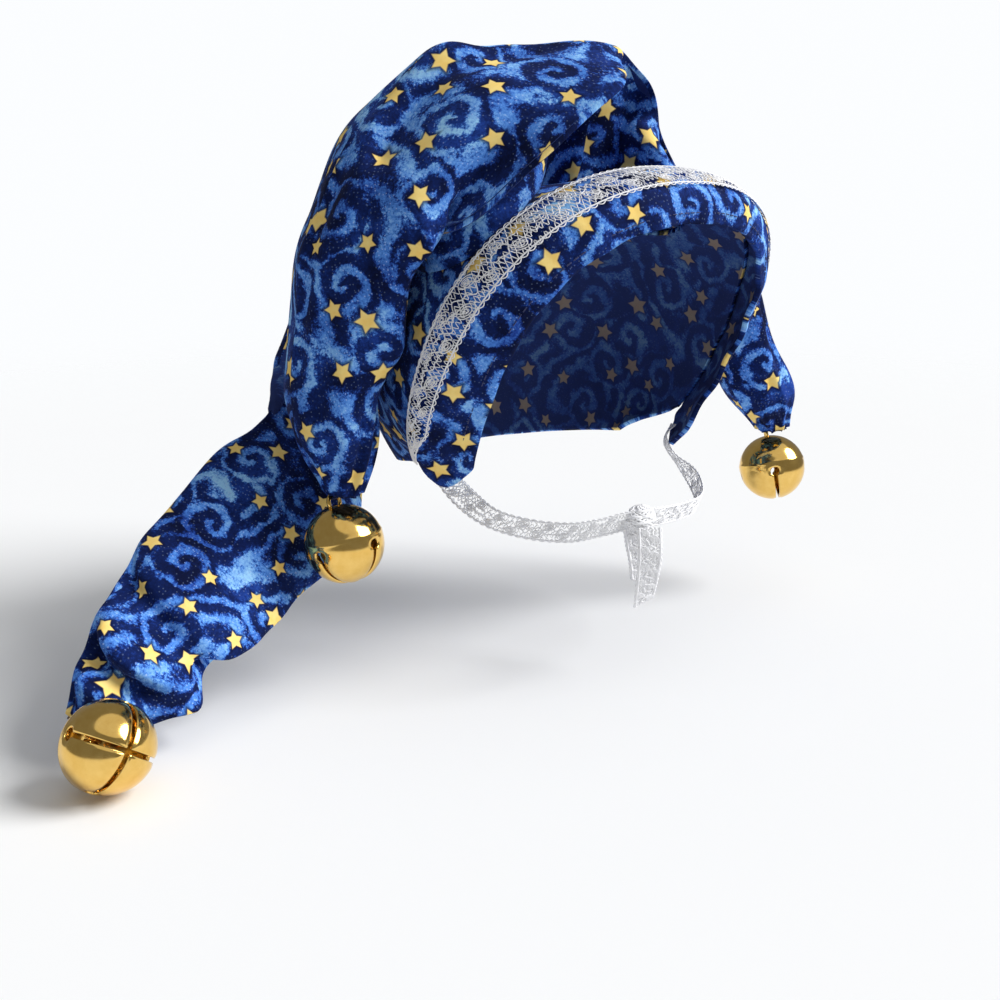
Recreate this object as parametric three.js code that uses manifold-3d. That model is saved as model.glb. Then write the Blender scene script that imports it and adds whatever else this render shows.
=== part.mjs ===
// A pet's three-pointed jester hat in printed cotton: a hood that covers the head, a crescent brim round the
// face, two side points and a long back point that end in round bells, a lace trim and a lace chin tie.
// Millimetres, +Z up. The wearer looks along -Y and its right side is at -X.
// The origin is in the hood's cloth, on the top of the head.

import * as THREE from 'three';
import { mergeVertices } from 'three/addons/utils/BufferGeometryUtils.js';
import Module from 'manifold-3d';

// Driving dimensions
const CLOTH = 1.5; // cotton with its turned seams
const LACE = 0.9; // lace and its stitching
const GAP = 0.45; // between sewn pieces
const EAR_Y = 8; // the hood's arches fan out from a line through both ears
const EAR_Z = -75.5;
const FACE_LEAN = 62; // degrees from straight ahead, of the arch over the face
const NAPE_LEAN = 188; // and of the arch round the nape
const ROUND = 2.3; // exponent of the arches, 2 is an ellipse
const LEFT_SHARE = 0.91; // the hood sits closer on the wearer's left
const HEAD_CENTRE = new THREE.Vector3(0, 10, -45);
const SEAM = 5; // turned-in cloth round the holes into the points
const HOLE_REACH = [0.8, 1.2]; // the cutters' ends, as shares of the way from the head's centre to the hood
const BRIM_LAP = 3.5; // degrees that the brim reaches back over the hood
const BRIM_FOOT = 2; // its flaps' ends over the ear line, where they lie on the hood
const BRIM_BEND_LEAN = 1; // degrees before the hood's edge, and how far over it, the brim bends
const BRIM_BEND_LIFT = 0.3;
const BRIM_TIP_FROM = 0.88; // share of its length from which a flap's end is rounded down
const BRIM_TIP_DROP = 3.5;
const BRIM_TIP_LOST = 0.4; // share of its width that a flap loses at its rear corner
const LACE_FROM = 0.08; // shares of the brim's width that the trim covers
const LACE_TO = 0.52;
const LACE_END = 0.97; // share of the brim's length, from its middle, where the trim ends
const LACE_CELLS = 44; // eyelets along the trim
const LACE_EYELET = [0.3, 0.7]; // where they lie across it
const LACE_POINT = { run: 0.1, lost: 0.75 }; // how it narrows to a point
const SCALLOP = 0.09; // share of its width
const TIE_WIDTH = 6.5;
const TIE_TURN = [0.2, 0.6]; // shares of its length between which it turns flat under the chin
const TIE_CLEAR = 0.6; // more room behind the curved flap
const BELL_RADIUS = 11;
const BELL_WALL = 1;
const BELL_SLOT = 1.2;
const BELL_SLOT_END = 1.5; // radius of the round hole that ends each slot
const LOOP_RADIUS = 2.2; // the bell's wire loop
const LOOP_WIRE = 0.6;

// The hood's arches from the face to the nape, evenly spaced in lean:
// rise over the ear line, half width, height of the widest place, height of the foot.
const HOOD = [
  { rise: 89.0, half: 58.0, waist: 34.0, foot: 8.0 },
  { rise: 78.6, half: 58.3, waist: 34.0, foot: 5.6 },
  { rise: 73.2, half: 57.6, waist: 33.0, foot: 4.7 },
  { rise: 70.0, half: 56.0, waist: 31.0, foot: 4.4 },
  { rise: 66.5, half: 53.0, waist: 28.0, foot: 4.5 },
  { rise: 62.0, half: 49.5, waist: 24.5, foot: 5.2 },
  { rise: 57.0, half: 45.0, waist: 20.0, foot: 6.9 },
  { rise: 52.0, half: 41.0, waist: 16.0, foot: 12.0 },
];
const HOOD_DROP = 1.6; // how far the arches run on below their waist, in waists

// The brim's front edge is one more arch, nearer to the face.
const BRIM_FRONT = { rise: 81, half: 46, waist: 36, drop: 70, foot: 0 };
const BRIM_FRONT_LEAN = 59.5;
const BRIM_FRONT_Y = -4;
const BRIM_FRONT_Z = -78;
const BRIM_BEND = 0.22; // share of its width where the brim leaves the hood

// Sections of the points from the seam on the hood to the tip: the middle, the half width
// towards the upper or outer edge, and the half depth towards the front face.
const HORN_RIGHT = {
  sections: [
    { at: [-36, 4, -8], edge: [20, -2, 12], face: [-9, -27, 0] },
    { at: [-33, 3, 8], edge: [21, -6, 15], face: [-9, -26, -3] },
    { at: [-28, 2, 18], edge: [26, -18, 18], face: [-10, -22, -6] },
    { at: [-47, 8, 16], edge: [10, -9, 21], face: [-6, -24, -7] },
    { at: [-53.5, 11, 11], edge: [3.5, -2, 21], face: [-3, -24, -6] },
    { at: [-66, 15, -5], edge: [-8, 0, 11], face: [-2, -22, -4] },
    { at: [-72, 18, -24], edge: [-12, 0, 3], face: [0, -19, 0] },
    { at: [-73, 19, -45], edge: [-12, 0, -1], face: [0, -18, 0] },
    { at: [-73, 15, -63], edge: [-11, 0, -1], face: [0, -14, 0] },
    { at: [-74, 11, -78.5], edge: [-5, 0, 0], face: [0, -6, 0] },
  ],
  folds: [
    { from: [0.27, -8], to: [0.52, 40], deep: 4, wide: 6 },
    { from: [0.3, 165], to: [0.6, 175], deep: 4, wide: 8 },
    { from: [0.1, 60], to: [0.26, 50], deep: 4, wide: 7 },
    { from: [0.1, -45], to: [0.35, -40], deep: 8, wide: 9 },
  ],
};
const HORN_LEFT = {
  sections: [
    { at: [24, 10, -5], edge: [-22, -2, 9], face: [6, -24, 0] },
    { at: [22, 10, 7], edge: [-20, -8, 19], face: [4, -20, 0] },
    { at: [24.5, 13, 12.5], edge: [-14.5, -13, 25.5], face: [3, -17, 0] },
    { at: [29, 15, 8], edge: [-11, -8, 21], face: [2, -17, 0] },
    { at: [41, 14, -4], edge: [-6, -2, 12], face: [1, -18, 0] },
    { at: [54, 9, -14], edge: [2, 0, 9], face: [0, -17, 0] },
    { at: [63, 4, -31], edge: [8, 0, 5], face: [0, -15, 0] },
    { at: [69, -1, -48], edge: [9, 0, 4], face: [0, -13, 0] },
    { at: [76.5, -4.5, -64], edge: [10, 0, 3], face: [0, -11, 0] },
    { at: [83, -6, -77.5], edge: [6, 0, 1], face: [0, -6, 0] },
  ],
  folds: [
    { from: [0.1, 30], to: [0.15, 32], deep: 9, wide: 7 },
    { from: [0.2, 10], to: [0.5, 40], deep: 3, wide: 6 },
    { from: [0.3, 170], to: [0.6, 180], deep: 3, wide: 7 },
  ],
};
const TAIL_BACK = {
  sections: [
    { at: [0, 54, -22], edge: [0, -10, 15], face: [24, 0, 0] },
    { at: [-6, 68, -16], edge: [-2, -6, 16], face: [21, 8, 0] },
    { at: [-26, 77, -31], edge: [-9, 0, 17], face: [13, 12, 3] },
    { at: [-50, 64, -57], edge: [-11, 8, 13], face: [7, 10, 2] },
    { at: [-68.1, 41.5, -79.5], edge: [-10.5, 11.5, 15.5], face: [6, 7, -2] },
    { at: [-94.6, 30, -93.5], edge: [-10, 12, 15.5], face: [5, 6, -2] },
    { at: [-120, 16, -104], edge: [-9, 11, 12], face: [5, 6, -2] },
    { at: [-136, 7, -114], edge: [-7, 8, 9], face: [5, 5, -2] },
    { at: [-147.8, 6, -123.2], edge: [-4, 4, 3], face: [2.5, 2.5, -1] },
  ],
  folds: [
    { from: [0.25, 60], to: [0.55, 110], deep: 4, wide: 8 },
    { from: [0.66, -20], to: [0.74, -110], deep: 4, wide: 6 },
    { from: [0.78, -30], to: [0.84, -140], deep: 4, wide: 5 },
    { from: [0.8, 180], to: [0.88, 250], deep: 3, wide: 5 },
  ],
};
const HORN_SPAN = 130; // mm of cloth from seam to tip, which scales the folds
const HORN_GIRTH = 18; // mm, mean half width
const HORN_STEPS = 18;
const HORN_SIDES = 16;
const HORN_TIP = 0.96; // where the hollow inside a point ends
const HORN_SEAT = 0.125; // the share of its length in which a point leaves the hood
const HORN_EASE = 1.5;
const FOLD_LIMIT = 0.35; // deepest fold, as a share of the half width

// Bells: the middle, and the way that the crossed slots face.
const BELLS = {
  bell_right: { at: [-74.3, 10, -92.8], faces: [0.1, -0.25, -1], turn: 20 },
  bell_left: { at: [83.6, -6.3, -91.6], faces: [0, -0.3, -1], turn: 45 },
  bell_tail: { at: [-149.3, -9.9, -122.1], faces: [0.09, -0.96, 0.25], turn: 40 },
};

// The tie runs from each flap to the knot under the chin, and two ends hang from the knot.
const KNOT = { at: [-8.5, -36.6, -86.6], half: [4.6, 3.4, 3.6] };
const TIE_SEAT = { width: 0.6, top: 0.965, end: 1 }; // on the inside of the flap
const TIE_CHIN = [0, -0.41, 0.91]; // the way its width lies under the chin
const TIE_HANGS = [0.85, -0.52, 0]; // and in the hanging ends
const TIE_RIGHT = [[-40, -12, -87], [-27, -28, -89.5], [-13.2, -35.2, -87.2]];
const TIE_LEFT = [[38, -12, -87], [22, -29, -89.5], [-3.4, -36.9, -87.2]];
const END_FRONT = [[-9.4, -41, -88.2], [-9.8, -42, -96], [-9, -40.4, -104], [-8.2, -38.6, -110.5]];
const END_REAR = [[-6.8, -32.4, -88.6], [-5.6, -32.6, -95], [-5, -33.6, -101], [-5.2, -34.6, -106]];

const COTTON = { color: 0x1b2c72, roughness: 0.9, metalness: 0 };
const WHITE_LACE = { color: 0xf4f4f8, roughness: 0.85, metalness: 0 };
const GOLD = { color: 0xd9b052, roughness: 0.2, metalness: 1 };

const wasm = await Module();
wasm.setup();

const radians = THREE.MathUtils.degToRad;
const vector = (values) => new THREE.Vector3(...values);
const steps = (count, from = 0, to = 1) =>
  Array.from({ length: count + 1 }, (_, i) => from + ((to - from) * i) / count);

// Collects the corners and faces of one closed body.
class Body {
  corners = [];
  faces = [];

  grid(surface, us, vs) {
    return us.map((u) => vs.map((v) => this.corners.push(surface(u, v)) - 1));
  }

  quad(a, b, c, d) {
    this.faces.push([a, b, c], [a, c, d]);
  }

  geometry() {
    const at = (i) => this.corners[i];
    const volume = this.faces.reduce((sum, [a, b, c]) => sum + at(a).dot(at(b).clone().cross(at(c))), 0);
    const faces = volume > 0 ? this.faces : this.faces.map(([a, b, c]) => [a, c, b]);
    const geometry = new THREE.BufferGeometry().setFromPoints(this.corners);
    geometry.setIndex(faces.flat());
    return geometry;
  }
}

// A cloth wall between an outer and an inner surface of the same two parameters, with a rim along every
// open side. Where open(i, j) is true the cell is cut through.
function wall(outer, inner, us, vs, open = () => false) {
  const body = new Body();
  const top = body.grid(outer, us, vs);
  const under = body.grid(inner, us, vs);
  const rows = us.length - 1;
  const columns = vs.length - 1;
  const cloth = (i, j) => i >= 0 && i < rows && j >= 0 && j < columns && !open(i, j);
  for (let i = 0; i < rows; i += 1) {
    for (let j = 0; j < columns; j += 1) {
      if (!cloth(i, j)) continue;
      body.quad(top[i][j], top[i + 1][j], top[i + 1][j + 1], top[i][j + 1]);
      body.quad(under[i][j], under[i][j + 1], under[i + 1][j + 1], under[i + 1][j]);
      const sides = [
        [i - 1, j, [i, j + 1], [i, j]],
        [i + 1, j, [i + 1, j], [i + 1, j + 1]],
        [i, j - 1, [i, j], [i + 1, j]],
        [i, j + 1, [i + 1, j + 1], [i, j + 1]],
      ];
      for (const [ni, nj, [ai, aj], [bi, bj]] of sides) {
        if (!cloth(ni, nj)) body.quad(top[bi][bj], top[ai][aj], under[ai][aj], under[bi][bj]);
      }
    }
  }
  return body.geometry();
}

// The surface moved by a distance along its normal, du x dv.
function moved(surface, distance) {
  const d = 1e-4;
  return (u, v) => {
    const along = surface(u + d, v).sub(surface(u - d, v));
    const across = surface(u, v + d).sub(surface(u, v - d));
    return surface(u, v).addScaledVector(along.cross(across).normalize(), distance);
  };
}

const sheet = (surface, thickness, us, vs, open) =>
  wall(moved(surface, thickness / 2), moved(surface, -thickness / 2), us, vs, open);

// A uniform Catmull-Rom curve through a column of numbers.
function along(rows, name, share) {
  const place = THREE.MathUtils.clamp(share, 0, 1) * (rows.length - 1);
  const i = Math.min(Math.floor(place), rows.length - 2);
  const value = (k) => rows[k]?.[name];
  const [b, c] = [value(i), value(i + 1)];
  const a = value(i - 1) ?? 2 * b - c;
  const d = value(i + 2) ?? 2 * c - b;
  const t = place - i;
  const [second, third] = [2 * a - 5 * b + 4 * c - d, 3 * b - a - 3 * c + d];
  return b + 0.5 * ((c - a) * t + second * t ** 2 + third * t ** 3);
}

// The hood

function hoodArch(share, lift) {
  const waist = along(HOOD, 'waist', share);
  return {
    rise: along(HOOD, 'rise', share) + lift,
    half: along(HOOD, 'half', share) + lift,
    waist,
    drop: HOOD_DROP * waist,
    foot: along(HOOD, 'foot', share),
  };
}

// A point of an arch: side is -1 at the right foot, 0 at the top and 1 at the left foot.
function archPoint(arch, side) {
  const { rise, half, waist, drop, foot } = arch;
  const footHalf = half * (1 - (Math.abs(foot - waist) / drop) ** ROUND) ** (1 / ROUND);
  const footAngle = Math.atan2(foot - waist, footHalf);
  const angle = Math.PI / 2 - Math.abs(side) * (Math.PI / 2 - footAngle);
  const [cos, sin] = [Math.cos(angle), Math.sin(angle)];
  const tall = sin >= 0 ? rise - waist : drop;
  const reach = ((Math.abs(cos) / half) ** ROUND + (Math.abs(sin) / tall) ** ROUND) ** (-1 / ROUND);
  return { x: (side < 0 ? -1 : LEFT_SHARE) * reach * cos, up: waist + reach * sin };
}

function leaning({ x, up }, lean, y, z) {
  return new THREE.Vector3(x, y - up * Math.cos(radians(lean)), z + up * Math.sin(radians(lean)));
}

const hoodLean = (share) => THREE.MathUtils.lerp(FACE_LEAN, NAPE_LEAN, share);

const hood = (lift) => (share, side) =>
  leaning(archPoint(hoodArch(share, lift), side), hoodLean(share), EAR_Y, EAR_Z);

function insideHood(point, lift) {
  const [back, up] = [point.y - EAR_Y, point.z - EAR_Z];
  const turned = THREE.MathUtils.radToDeg(Math.atan2(up, -back));
  const lean = turned < -90 ? turned + 360 : turned;
  const { rise, half, waist, drop } = hoodArch((lean - FACE_LEAN) / (NAPE_LEAN - FACE_LEAN), lift);
  const over = Math.hypot(back, up) - waist;
  const across = Math.abs(point.x) / (point.x < 0 ? half : half * LEFT_SHARE);
  return across ** ROUND + (Math.abs(over) / (over < 0 ? drop : rise - waist)) ** ROUND < 1;
}

// The point on the hood's surface that is straight out from the head's centre through the given one.
function ontoHood(point, lift) {
  const way = point.clone().sub(HEAD_CENTRE);
  let [near, far] = [0, 4];
  for (let i = 0; i < 40; i += 1) {
    const middle = (near + far) / 2;
    if (insideHood(HEAD_CENTRE.clone().addScaledVector(way, middle), lift)) near = middle;
    else far = middle;
  }
  return HEAD_CENTRE.clone().addScaledVector(way, near);
}

// The points

function foldDepth(folds, share, angle) {
  let depth = 0;
  for (const { from, to, deep, wide } of folds) {
    for (const turn of [-360, 0, 360]) {
      const place = new THREE.Vector2(share * HORN_SPAN, radians(angle + turn) * HORN_GIRTH);
      const start = new THREE.Vector2(from[0] * HORN_SPAN, radians(from[1]) * HORN_GIRTH);
      const line = new THREE.Vector2(to[0] * HORN_SPAN, radians(to[1]) * HORN_GIRTH).sub(start);
      const run = THREE.MathUtils.clamp(place.clone().sub(start).dot(line) / line.lengthSq(), 0, 1);
      const away = place.distanceTo(start.addScaledVector(line, run));
      depth += deep * Math.exp(-((away / wide) ** 2));
    }
  }
  return depth;
}

// The surface of a point, by its share of the way from seam to tip and the angle round it in degrees.
// inset is how far it lies inside the outer face.
function horn({ sections, folds }, inset) {
  const curve = (name) =>
    new THREE.CatmullRomCurve3(sections.map((row) => vector(row[name])), false, 'catmullrom', 0.5);
  const [middle, edge, face] = [curve('at'), curve('edge'), curve('face')];
  const free = (share, angle) => {
    const shrunk = (half) => half.setLength(half.length() - inset);
    const out = shrunk(edge.getPoint(share)).multiplyScalar(Math.cos(radians(angle)));
    out.addScaledVector(shrunk(face.getPoint(share)), Math.sin(radians(angle)));
    const folded = Math.min(foldDepth(folds, share, angle), FOLD_LIMIT * out.length());
    out.setLength(out.length() - folded);
    return out.add(middle.getPoint(share));
  };
  return (share, angle) => {
    const point = free(share, angle);
    const onSeam = free(0, angle);
    const held = Math.max(0, 1 - share / HORN_SEAT) ** HORN_EASE;
    return point.addScaledVector(ontoHood(onSeam, GAP).sub(onSeam), held);
  };
}

// A hollow cone, open at the seam and closed at the tip.
function hornWall(shape) {
  const body = new Body();
  const angles = steps(HORN_SIDES, 0, 360).slice(0, -1);
  const skins = [
    body.grid(horn(shape, 0), steps(HORN_STEPS), angles),
    body.grid(horn(shape, CLOTH), steps(HORN_STEPS, 0, HORN_TIP), angles).map((ring) => ring.reverse()),
  ];
  for (const rings of skins) {
    const last = rings[HORN_STEPS];
    const centre = new THREE.Vector3();
    last.forEach((i) => centre.addScaledVector(body.corners[i], 1 / HORN_SIDES));
    const cap = body.corners.push(centre) - 1;
    for (let j = 0; j < HORN_SIDES; j += 1) {
      const k = (j + 1) % HORN_SIDES;
      for (let i = 0; i < HORN_STEPS; i += 1) {
        body.quad(rings[i][j], rings[i][k], rings[i + 1][k], rings[i + 1][j]);
      }
      body.faces.push([last[j], last[k], cap]);
    }
  }
  const [outside, inside] = [skins[0][0], skins[1][0].toReversed()];
  for (let j = 0; j < HORN_SIDES; j += 1) {
    const k = (j + 1) % HORN_SIDES;
    body.quad(outside[k], outside[j], inside[j], inside[k]);
  }
  return body.geometry();
}

// What is cut out of the hood under a point, a little smaller than the seam.
function hornHole(shape) {
  const body = new Body();
  const angles = steps(HORN_SIDES, 0, 360).slice(0, -1);
  const seam = horn(shape, SEAM);
  const through = (reach, angle) => HEAD_CENTRE.clone().lerp(seam(0, angle), reach);
  const [inside, outside] = body.grid(through, HOLE_REACH, angles);
  const ends = HOLE_REACH.map((reach) => {
    const centre = new THREE.Vector3();
    angles.forEach((angle) => centre.addScaledVector(through(reach, angle), 1 / HORN_SIDES));
    return body.corners.push(centre) - 1;
  });
  for (let j = 0; j < HORN_SIDES; j += 1) {
    const k = (j + 1) % HORN_SIDES;
    body.quad(inside[j], inside[k], outside[k], outside[j]);
    body.faces.push([inside[k], inside[j], ends[0]], [outside[j], outside[k], ends[1]]);
  }
  return body.geometry();
}

// The brim, its trim and the tie

// length is -1 at the right flap and 1 at the left one, width is 0 on the hood and 1 at the front edge.
function brim(width, length) {
  const lift = GAP + CLOTH / 2;
  const onHood = (lean) => {
    const share = (lean - FACE_LEAN) / (NAPE_LEAN - FACE_LEAN);
    const arch = { ...hoodArch(share, lift), foot: BRIM_FOOT };
    return leaning(archPoint(arch, length), lean, EAR_Y, EAR_Z);
  };
  const back = onHood(FACE_LEAN + BRIM_LAP);
  const bendArch = { ...hoodArch(0, lift + BRIM_BEND_LIFT), foot: BRIM_FOOT };
  const bend = leaning(archPoint(bendArch, length), FACE_LEAN - BRIM_BEND_LEAN, EAR_Y, EAR_Z);
  const front = leaning(archPoint(BRIM_FRONT, length), BRIM_FRONT_LEAN, BRIM_FRONT_Y, BRIM_FRONT_Z);
  const nearTip = Math.max(0, (Math.abs(length) - BRIM_TIP_FROM) / (1 - BRIM_TIP_FROM));
  const across = width + BRIM_TIP_LOST * nearTip ** 2 * (1 - width);
  const shares = [
    ((across - BRIM_BEND) * (across - 1)) / BRIM_BEND,
    (across * (across - 1)) / (BRIM_BEND * (BRIM_BEND - 1)),
    (across * (across - BRIM_BEND)) / (1 - BRIM_BEND),
  ];
  const point = back.multiplyScalar(shares[0]);
  point.addScaledVector(bend, shares[1]).addScaledVector(front, shares[2]);
  point.z -= BRIM_TIP_DROP * 4 * width * (1 - width) * nearTip ** 2;
  return point;
}

// The trim lies on the brim. Its front edge is scalloped and it narrows to a point at both ends.
function trim(across, length) {
  const narrow = THREE.MathUtils.smoothstep(Math.abs(length), LACE_END - LACE_POINT.run, LACE_END);
  const width = LACE_FROM + (LACE_TO - LACE_FROM) * across * (1 - LACE_POINT.lost * narrow);
  return moved(brim, CLOTH / 2 + GAP + LACE / 2)(width, length);
}

function trimBand() {
  const columns = steps(2 * LACE_CELLS, -LACE_END, LACE_END);
  const rows = [0, ...LACE_EYELET, 1];
  const pitch = columns[1] - columns[0];
  const scalloped = (across, length) => {
    const wave = Math.sin(((length + LACE_END) / pitch) * (Math.PI / 2)) ** 2;
    const grown = across === 1 ? 1 + SCALLOP * (wave - 0.5) : across;
    return trim(grown, length);
  };
  return sheet(scalloped, LACE, rows, columns, (i, j) => i === 1 && j % 2 === 1);
}

// A strip of lace along a path. The way that its width lies turns from one direction to another.
function ribbon(points, from, to) {
  const path = new THREE.CatmullRomCurve3(points);
  const strip = (share, side) => {
    const place = THREE.MathUtils.clamp(share, 0, 1);
    const way = path.getTangent(place);
    const wide = from.clone().lerp(to, THREE.MathUtils.smoothstep(place, ...TIE_TURN));
    wide.addScaledVector(way, -wide.dot(way)).setLength(TIE_WIDTH / 2);
    return path.getPoint(place).addScaledVector(wide, side);
  };
  return sheet(strip, LACE, steps(16), [-1, 1]);
}

// One half of the tie, from inside a flap, -1 for the right one, to the knot.
function tie(points, flap) {
  const inside = moved(brim, -(CLOTH / 2 + GAP + LACE / 2 + TIE_CLEAR));
  const seat = [TIE_SEAT.top, TIE_SEAT.end].map((length) => inside(TIE_SEAT.width, flap * length));
  const onFlap = inside(TIE_SEAT.width + 0.1, flap).sub(inside(TIE_SEAT.width - 0.1, flap)).normalize();
  return ribbon([...seat, ...points.map(vector)], onFlap, vector(TIE_CHIN));
}

function hangingEnd(points) {
  return ribbon(points.map(vector), vector(TIE_HANGS), vector(TIE_HANGS));
}

// The bells

function solid(geometry) {
  const bare = geometry.clone();
  bare.deleteAttribute('normal');
  bare.deleteAttribute('uv');
  const merged = mergeVertices(bare, 1e-3);
  const mesh = new wasm.Mesh({
    numProp: 3,
    vertProperties: merged.attributes.position.array,
    triVerts: new Uint32Array(merged.index.array),
  });
  return new wasm.Manifold(mesh);
}

function fromSolid(cut) {
  const { vertProperties, triVerts } = cut.getMesh();
  const geometry = new THREE.BufferGeometry();
  geometry.setAttribute('position', new THREE.BufferAttribute(vertProperties, 3));
  geometry.setIndex(new THREE.BufferAttribute(triVerts, 1));
  return geometry;
}

// A thin ball with a wire loop at +Z and two slots that cross at -Z, each ending in a round hole.
function bell() {
  const ball = (radius) => solid(new THREE.SphereGeometry(radius, 16, 10).rotateX(Math.PI / 2));
  const loop = new THREE.TorusGeometry(LOOP_RADIUS, LOOP_WIRE, 6, 12).rotateX(Math.PI / 2);
  loop.translate(0, 0, BELL_RADIUS + LOOP_WIRE);
  let shell = ball(BELL_RADIUS).add(solid(loop)).subtract(ball(BELL_RADIUS - BELL_WALL));
  const long = 3 * BELL_RADIUS;
  for (const turn of [0, Math.PI / 2]) {
    const slot = new THREE.BoxGeometry(long, BELL_SLOT, long).translate(0, 0, -long / 2).rotateZ(turn);
    const hole = new THREE.CylinderGeometry(BELL_SLOT_END, BELL_SLOT_END, long, 8).rotateZ(Math.PI / 2);
    shell = shell.subtract(solid(slot)).subtract(solid(hole.rotateZ(turn)));
  }
  return fromSolid(shell);
}

// The hat

const hat = new THREE.Group();

function piece(name, geometry, look) {
  const mesh = new THREE.Mesh(geometry, new THREE.MeshStandardMaterial(look));
  mesh.name = name;
  hat.add(mesh);
  return mesh;
}

const points = { horn_right: HORN_RIGHT, horn_left: HORN_LEFT, tail_back: TAIL_BACK };
let crown = solid(wall(hood(0), hood(-CLOTH), steps(10), steps(28, -1, 1)));
for (const [name, shape] of Object.entries(points)) {
  piece(name, hornWall(shape), COTTON);
  crown = crown.subtract(solid(hornHole(shape)));
}
piece('crown', fromSolid(crown), COTTON);
piece('brim', sheet(brim, CLOTH, steps(5), steps(44, -1, 1)), COTTON);
piece('lace_trim', trimBand(), WHITE_LACE);

const bellShape = bell();
for (const [name, { at, faces, turn }] of Object.entries(BELLS)) {
  const mesh = piece(name, bellShape, GOLD);
  mesh.position.set(...at);
  mesh.quaternion.setFromUnitVectors(new THREE.Vector3(0, 0, -1), vector(faces).normalize());
  mesh.rotateZ(radians(turn));
}

piece('chin_tie_right', tie(TIE_RIGHT, -1), WHITE_LACE);
piece('chin_tie_left', tie(TIE_LEFT, 1), WHITE_LACE);
piece('tie_end_front', hangingEnd(END_FRONT), WHITE_LACE);
piece('tie_end_rear', hangingEnd(END_REAR), WHITE_LACE);
const knot = piece('tie_knot', new THREE.SphereGeometry(1, 12, 8), WHITE_LACE);
knot.position.set(...KNOT.at);
knot.scale.set(...KNOT.half);

export default hat;
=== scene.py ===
import math

import bpy
import numpy as np
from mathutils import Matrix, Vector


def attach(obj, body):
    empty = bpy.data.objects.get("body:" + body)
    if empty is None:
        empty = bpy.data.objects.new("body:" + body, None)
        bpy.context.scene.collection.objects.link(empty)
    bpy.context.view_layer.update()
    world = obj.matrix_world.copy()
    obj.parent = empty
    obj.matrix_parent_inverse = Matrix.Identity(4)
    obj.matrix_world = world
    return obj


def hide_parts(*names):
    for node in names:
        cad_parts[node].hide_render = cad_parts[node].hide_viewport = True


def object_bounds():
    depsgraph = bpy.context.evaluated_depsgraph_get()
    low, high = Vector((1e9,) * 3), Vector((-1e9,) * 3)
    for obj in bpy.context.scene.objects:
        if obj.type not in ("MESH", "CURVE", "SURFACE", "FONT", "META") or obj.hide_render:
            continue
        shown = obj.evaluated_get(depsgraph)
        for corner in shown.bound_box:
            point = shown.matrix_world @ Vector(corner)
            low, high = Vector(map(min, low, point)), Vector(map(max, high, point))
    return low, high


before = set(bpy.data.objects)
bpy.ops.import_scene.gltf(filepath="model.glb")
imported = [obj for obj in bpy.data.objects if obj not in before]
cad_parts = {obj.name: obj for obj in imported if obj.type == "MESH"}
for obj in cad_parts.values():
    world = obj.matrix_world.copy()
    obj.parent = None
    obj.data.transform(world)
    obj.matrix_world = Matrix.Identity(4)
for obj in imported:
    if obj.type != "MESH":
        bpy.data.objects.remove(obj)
cad_box = [list(corner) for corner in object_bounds()]


# Camera
# It stands in front of the wearer's right cheek at the height of the brim and looks 15 degrees down.
camera = bpy.data.objects.new("camera", bpy.data.cameras.new("camera"))
camera.location = (-0.2308, -0.2588, 0.0020)
camera.rotation_euler = (math.radians(75), 0, math.radians(-38))
camera.data.lens = 42.77
camera.data.sensor_width = 36
camera.data.clip_start = 0.01
bpy.context.collection.objects.link(camera)
bpy.context.scene.camera = camera


# Chin tie
# A narrow strip of white cotton lace, sewn to the inside of both flaps of the brim and knotted under the
# chin. It is knitted: a net of fine thread, heavier scrolls laid through it, and a firm scalloped border.
MM = 0.001
TIE_HALF = 3.1
TIE_LACE = dict(cells=120, rows=6, leaves=48, picots=80)
END_LACE = dict(cells=24, rows=9, leaves=10, picots=14, heavy=1.45)
TIE_ROUTE = np.array([
    # the middle of the strip, and the way that its width lies
    (-47.7, 1.5, -72.6, 3.6, -5.3, 1.2),
    (-44.9, 2.6, -77.8, 3.7, -4.3, 3.0),
    (-42.7, -3.6, -83.1, 3.3, -2.0, 5.2),
    (-40.0, -12.0, -87.0, 0.1, -2.2, 6.1),
    (-34.2, -20.5, -89.0, -0.9, -1.6, 6.2),
    (-27.0, -28.0, -89.5, -1.4, -1.6, 6.1),
    (-20.2, -32.0, -88.6, -2.1, -1.9, 5.9),
    (-13.2, -35.2, -87.2, -1.9, -1.8, 5.9),
    (-8.5, -36.4, -86.9, -0.3, -2.2, 6.0),
    (-3.4, -36.9, -87.2, 1.3, -2.3, 5.9),
    (9.8, -33.6, -88.7, 1.3, -2.4, 5.9),
    (22.0, -29.0, -89.5, 1.2, -2.0, 6.1),
    (31.4, -21.1, -89.0, 1.0, -1.6, 6.2),
    (38.0, -12.0, -87.0, -0.2, -2.4, 6.1),
    (39.6, -3.6, -83.2, -3.6, -2.6, 4.7),
    (40.6, 2.6, -77.8, -3.3, -4.2, 3.5),
    (43.2, 1.5, -72.7, -3.5, -5.4, 0.9),
])
END_FRONT = np.array([
    (-9.4, -41.0, -88.2, 5.0, -3.0, 0.0),
    (-9.8, -42.0, -96.0, 5.4, -3.0, 0.3),
    (-9.0, -40.4, -104.0, 5.8, -2.2, 1.2),
    (-8.2, -38.6, -110.5, 5.2, -1.6, 2.4),
])
END_REAR = np.array([
    (-6.8, -32.4, -88.6, 5.0, -3.0, 0.0),
    (-5.6, -32.6, -95.0, 5.2, -3.2, 0.0),
    (-5.0, -33.6, -101.0, 5.4, -2.6, -0.4),
    (-5.2, -34.6, -106.0, 5.2, -2.4, -1.0),
])
KNOT_AT = np.array((-8.5, -36.6, -86.6))
KNOT_HALF = np.array((4.4, 3.2, 3.4))


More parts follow.
